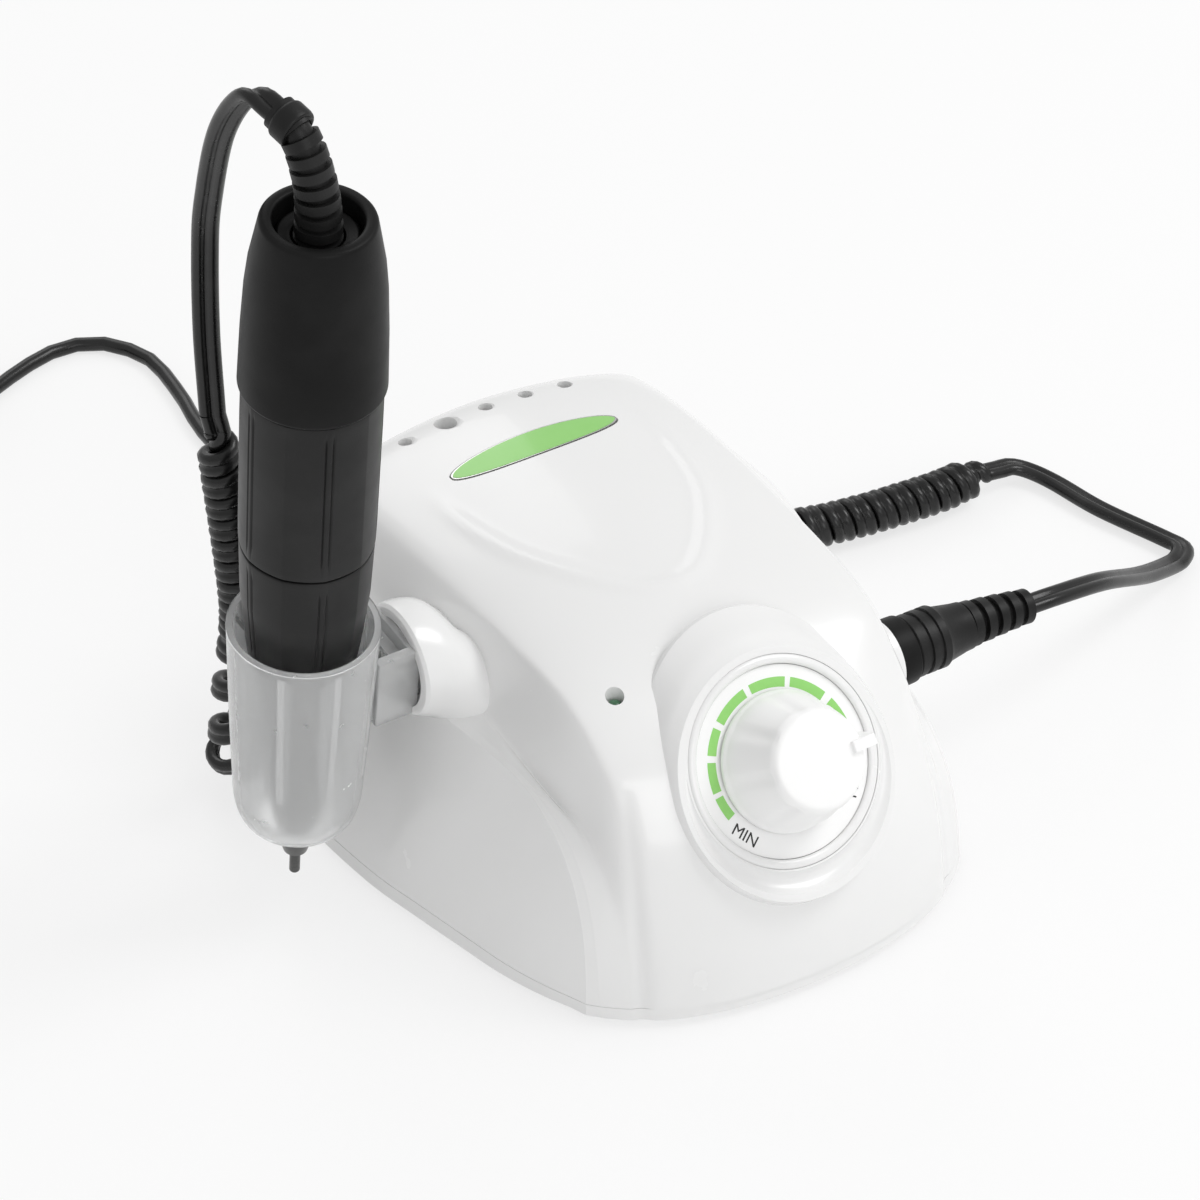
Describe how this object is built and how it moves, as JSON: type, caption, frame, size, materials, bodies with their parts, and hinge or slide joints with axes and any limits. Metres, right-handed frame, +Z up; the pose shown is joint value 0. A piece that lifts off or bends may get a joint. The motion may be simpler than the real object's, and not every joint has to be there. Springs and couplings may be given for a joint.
{
  "type": "dental lab micromotor",
  "caption": "Bench micromotor: moulded control box with a sloped speed dial, motor handpiece standing in a side cup, curly lead and mains lead.",
  "frame": {"origin": "on the table, under the middle of the box round the rigid pieces (control box, stand and handpiece, without the leads)", "axes": "+Z up, -Y to the front with the speed dial, +X to the user's right, away from the stand"},
  "size_m": [0.3327, 0.3405, 0.2091],
  "materials": {
    "white_plastic": "smooth gloss",
    "black_plastic": "satin",
    "black_rubber": "matte",
    "cloudy_plastic": "cloudy translucent",
    "green_enamel": "enamel",
    "lamp_lens": "clear tint",
    "board_laminate": "solder mask",
    "steel": "turned",
    "copper": "copper wire",
    "alloy": "plain"
  },
  "bodies": {
    "box": {"upper_shell": "white_plastic", "base_tray": "white_plastic", "rear_panel": "white_plastic", "dial_plate": "white_plastic", "dial_bezel": "white_plastic", "handpiece_socket": "black_plastic", "pedal_jack": "black_plastic", "fuse_holder": "black_plastic", "power_switch_frame": "black_plastic", "direction_switch_frame": "black_plastic", "selector_frame": "black_plastic", "foot_1": "black_rubber", "foot_2": "black_rubber", "foot_3": "black_rubber", "foot_4": "black_rubber", "handpiece_curl": "black_rubber", "plug_lead": "black_rubber", "handpiece_plug": "black_rubber", "mains_lead": "black_rubber", "mains_coil": "black_rubber", "mains_plug": "black_rubber", "mains_gland": "black_rubber", "name_plate": "green_enamel", "power_lamp": "lamp_lens", "circuit_board": "board_laminate", "base_screw_1": "steel", "base_screw_2": "steel", "base_screw_3": "steel", "base_screw_4": "steel", "transformer_core": "steel", "holder_screw": "steel", "transformer_winding": "copper", "heat_sink": "alloy", "speed_potentiometer": "alloy"},
    "knob": {"speed_knob": "white_plastic", "pot_shaft": "steel"},
    "power_switch": {"power_rocker": "black_plastic"},
    "direction_switch": {"direction_rocker": "black_plastic"},
    "selector": {"selector_slide": "black_plastic"},
    "fuse_plug": {"fuse_cap": "black_plastic"},
    "holder": {"holder_cup": "cloudy_plastic", "holder_hub": "cloudy_plastic"},
    "handpiece": {"back_cap": "black_plastic", "end_disc": "black_plastic", "motor_sleeve": "black_plastic", "stator_magnet": "alloy", "rear_bell": "alloy", "rear_bearing": "steel", "front_bearing": "steel", "brush_ring": "black_plastic", "handpiece_boot": "black_rubber", "nose_housing": "steel", "nose_cap": "steel", "handpiece_lead": "black_rubber"},
    "chuck": {"chuck_sleeve": "black_plastic"},
    "spindle": {"spindle_shaft": "steel", "rotor_core": "steel", "commutator": "copper", "collet": "steel", "shank_pin": "steel"}
  },
  "joints": [
    {"name": "speed_knob_turn", "type": "hinge", "parent": "box", "child": "knob", "pos_m": [0.0147, -0.0552, 0.0495], "axis": [0, -0.829, 0.5592], "range_deg": [-37, 243]},
    {"name": "holder_tilt", "type": "hinge", "parent": "box", "child": "holder", "pos_m": [-0.0638, 0.0078, 0.0585], "axis": [1, 0, 0], "range_deg": [-8, 30], "deforming": ["handpiece_lead"]},
    {"name": "handpiece_lift", "type": "slide", "parent": "holder", "child": "handpiece", "axis": [0, -0.1357, 0.9907], "range_m": [0, 0.08], "deforming": ["handpiece_lead"]},
    {"name": "chuck_twist", "type": "hinge", "parent": "handpiece", "child": "chuck", "pos_m": [-0.0638, 0.00498, 0.07911], "axis": [0, -0.1357, 0.9907], "range_deg": [0, 60]},
    {"name": "spindle_spin", "type": "hinge", "parent": "handpiece", "child": "spindle", "pos_m": [-0.0638, 0.00498, 0.07911], "axis": [0, -0.1357, 0.9907], "continuous": true},
    {"name": "power_rock", "type": "hinge", "parent": "box", "child": "power_switch", "pos_m": [-0.0113, 0.0678, 0.038], "axis": [1, 0, 0], "range_deg": [0, 18]},
    {"name": "direction_rock", "type": "hinge", "parent": "box", "child": "direction_switch", "pos_m": [0.0117, 0.0678, 0.038], "axis": [1, 0, 0], "range_deg": [0, 18]},
    {"name": "selector_slide", "type": "slide", "parent": "box", "child": "selector", "axis": [1, 0, 0], "range_m": [0, 0.006]},
    {"name": "fuse_cap_turn", "type": "hinge", "parent": "box", "child": "fuse_plug", "pos_m": [0.0417, 0.0664, 0.016], "axis": [0, 1, 0], "range_deg": [0, 45]}
  ]
}
